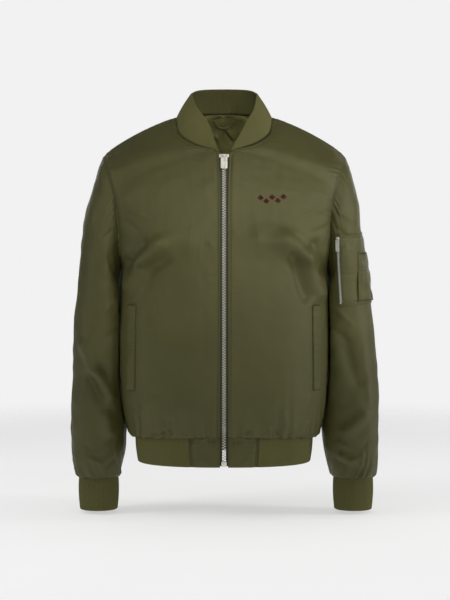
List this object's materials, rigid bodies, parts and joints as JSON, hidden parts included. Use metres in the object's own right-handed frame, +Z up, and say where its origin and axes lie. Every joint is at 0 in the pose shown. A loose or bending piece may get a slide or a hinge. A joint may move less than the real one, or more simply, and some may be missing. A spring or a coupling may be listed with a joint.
{
  "type": "bomber jacket",
  "caption": "Satin bomber jacket in its worn shape, with rib collar, cuffs and hem, a full-length metal zip, slanted welt pockets and a zipped pocket on the left sleeve.",
  "frame": {"origin": "midway between the high points of the two shoulders, where the wearer's shoulders hold the jacket up", "axes": "+Z up, the front faces -Y, the wearer's left arm is at +X"},
  "size_m": [0.5867, 0.2725, 0.8008],
  "materials": {
    "satin": "olive nylon satin with a soft broad sheen",
    "rib_knit": "matt olive rib knit",
    "lining": "dark olive woven lining",
    "zip_tape": "matt woven tape",
    "aged_metal": "aged, slightly warm zip metal"
  },
  "bodies": {
    "garment": {"front_left": "satin", "front_right": "satin", "back": "satin", "sleeve_left": "satin", "sleeve_right": "satin", "cuff_left": "rib_knit", "cuff_right": "rib_knit", "collar": "rib_knit", "hem_rib": "rib_knit", "hem_tab_left": "satin", "hem_tab_right": "satin", "welt_left": "satin", "welt_right": "satin", "sleeve_pocket": "satin", "pen_pocket": "satin", "lining_back": "lining", "hanger_loop": "lining", "zip_tape_left": "zip_tape", "zip_tape_right": "zip_tape", "zip_chain": "aged_metal", "zip_box": "aged_metal", "zip_slider": "aged_metal", "sleeve_zip_tape": "zip_tape", "sleeve_zip_chain": "aged_metal", "sleeve_zip_slider": "aged_metal"},
    "front_pull": {"zip_pull": "aged_metal"},
    "sleeve_pull": {"sleeve_zip_pull": "aged_metal"}
  },
  "joints": [
    {"name": "front_pull_hinge", "type": "hinge", "parent": "garment", "child": "front_pull", "pos_m": [0, -0.09818, -0.07706], "axis": [-1, 0, 0], "range_deg": [0, 150]},
    {"name": "sleeve_pull_hinge", "type": "hinge", "parent": "garment", "child": "sleeve_pull", "pos_m": [0.20921, -0.0723, -0.23003], "axis": [-0.9029, 0.4296, 0.0187], "range_deg": [0, 120]}
  ]
}
